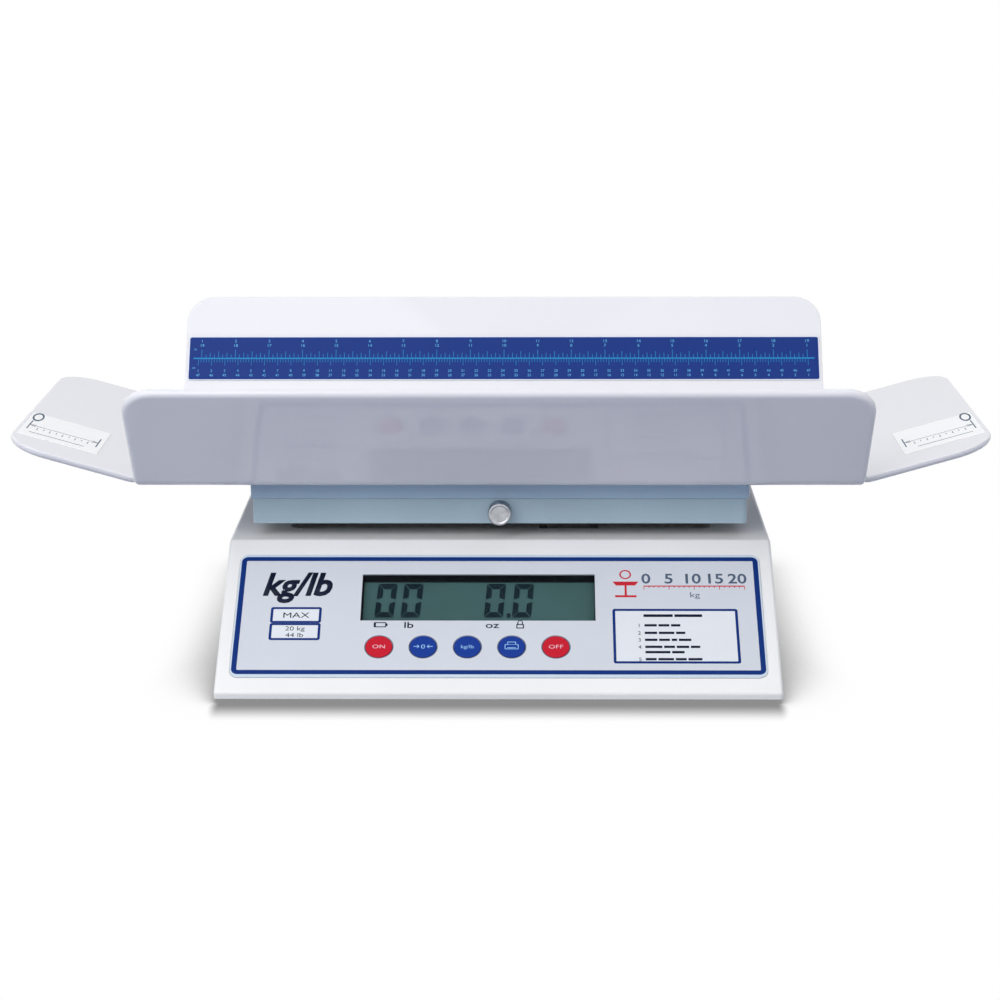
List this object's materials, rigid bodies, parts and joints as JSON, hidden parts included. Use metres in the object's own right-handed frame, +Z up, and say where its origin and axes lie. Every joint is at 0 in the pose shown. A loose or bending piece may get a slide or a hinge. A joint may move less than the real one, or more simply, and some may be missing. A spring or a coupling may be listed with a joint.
{
  "type": "digital baby weighing scale",
  "caption": "Digital baby weighing scale: a white tray with low open ends and a printed rule lifts off a load-cell platform; the base has a sloped display and key panel.",
  "frame": {"origin": "centre of the base of the overall bounding box, on the surface that the feet stand on", "axes": "+X to the user's right along the tray, +Y away from the user, +Z up"},
  "size_m": [0.6538, 0.3714, 0.195],
  "materials": {
    "white_housing": "satin moulded ABS",
    "grey_cover": "fine-textured moulding",
    "foot_rubber": "matte",
    "overlay_film": "fine matte printed film",
    "clear_window": "polished",
    "black_plastic": "matte",
    "display_panel": "polarised liquid-crystal panel",
    "circuit_board": "solder mask",
    "screw_steel": "zinc-plated",
    "switch_case": "matte",
    "key_red": "satin",
    "key_blue": "satin",
    "plated_steel": "zinc-plated sheet",
    "bare_aluminium": "machined",
    "cast_aluminium": "cast, tumbled",
    "painted_platform": "semi-gloss enamel",
    "painted_carrier": "semi-gloss enamel",
    "turned_steel": "turned and knurled",
    "white_tray": "polished sheet",
    "blue_rule": "printed film",
    "white_label": "printed film",
    "battery_cell": "printed jacket"
  },
  "bodies": {
    "base": {"top_housing": "white_housing", "bottom_cover": "grey_cover", "rubber_foot_1": "foot_rubber", "rubber_foot_2": "foot_rubber", "rubber_foot_3": "foot_rubber", "rubber_foot_4": "foot_rubber", "housing_screws": "screw_steel", "control_overlay": "overlay_film", "display_window": "clear_window", "display_bezel": "black_plastic", "display_glass": "display_panel", "display_frame": "black_plastic", "display_board": "circuit_board", "display_screws": "screw_steel", "key_switches": "switch_case", "switch_plungers": "switch_case", "chassis_plate": "plated_steel", "chassis_screws": "screw_steel", "load_cell": "bare_aluminium", "fixed_bolts": "screw_steel", "cell_mount": "plated_steel", "overload_stops": "screw_steel", "main_board": "circuit_board", "main_board_screws": "screw_steel", "board_parts": "switch_case", "power_jack": "black_plastic", "serial_port": "plated_steel", "port_studs": "screw_steel", "battery_box": "grey_cover", "battery_cells": "battery_cell", "battery_contacts": "plated_steel"},
    "platform": {"live_bolts": "screw_steel", "live_post": "bare_aluminium", "post_screws": "screw_steel", "platform_frame": "cast_aluminium", "platform_cover": "painted_platform", "platform_screws": "screw_steel", "nut_bracket": "plated_steel", "clinch_nut": "plated_steel"},
    "tray": {"tray": "white_tray", "tray_carrier": "painted_carrier", "tray_screws": "screw_steel", "tray_nuts": "plated_steel", "ruler_label": "blue_rule", "label_left": "white_label", "label_right": "white_label"},
    "screw_feed": {"thumbscrew_washer": "screw_steel"},
    "thumbscrew": {"thumbscrew": "turned_steel"},
    "key_on": {"key_on": "key_red"},
    "key_zero": {"key_zero": "key_blue"},
    "key_units": {"key_units": "key_blue"},
    "key_print": {"key_print": "key_blue"},
    "key_off": {"key_off": "key_red"},
    "battery_door": {"battery_door": "grey_cover"}
  },
  "joints": [
    {"name": "platform_deflection", "type": "slide", "parent": "base", "child": "platform", "axis": [0, 0, -1], "range_m": [0, 0.0004], "stiffness_N_per_m": 490000, "deforming": ["load_cell"]},
    {"name": "tray_lift", "type": "slide", "parent": "platform", "child": "tray", "axis": [0, 0, 1], "range_m": [0, 0.06]},
    {"name": "thumbscrew_feed", "type": "slide", "parent": "platform", "child": "screw_feed", "axis": [0, -1, 0], "range_m": [0, 0.0025]},
    {"name": "thumbscrew_turn", "type": "hinge", "parent": "screw_feed", "child": "thumbscrew", "pos_m": [0, -0.07637, 0.09689], "axis": [0, -1, 0], "range_deg": [0, 1080]},
    {"name": "key_on_press", "type": "slide", "parent": "base", "child": "key_on", "axis": [0, 0.5534, -0.8329], "range_m": [0, 0.0006], "stiffness_N_per_m": 2500, "deforming": ["switch_plungers"]},
    {"name": "key_zero_press", "type": "slide", "parent": "base", "child": "key_zero", "axis": [0, 0.5534, -0.8329], "range_m": [0, 0.0006], "stiffness_N_per_m": 2500, "deforming": ["switch_plungers"]},
    {"name": "key_units_press", "type": "slide", "parent": "base", "child": "key_units", "axis": [0, 0.5534, -0.8329], "range_m": [0, 0.0006], "stiffness_N_per_m": 2500, "deforming": ["switch_plungers"]},
    {"name": "key_print_press", "type": "slide", "parent": "base", "child": "key_print", "axis": [0, 0.5534, -0.8329], "range_m": [0, 0.0006], "stiffness_N_per_m": 2500, "deforming": ["switch_plungers"]},
    {"name": "key_off_press", "type": "slide", "parent": "base", "child": "key_off", "axis": [0, 0.5534, -0.8329], "range_m": [0, 0.0006], "stiffness_N_per_m": 2500, "deforming": ["switch_plungers"]},
    {"name": "battery_door_slide", "type": "slide", "parent": "base", "child": "battery_door", "axis": [0, 1, 0], "range_m": [0, 0.012]}
  ],
  "couplings": [
    {"joint": "thumbscrew_feed", "follows": "thumbscrew_turn", "m_per_rad": 0.00012732}
  ]
}
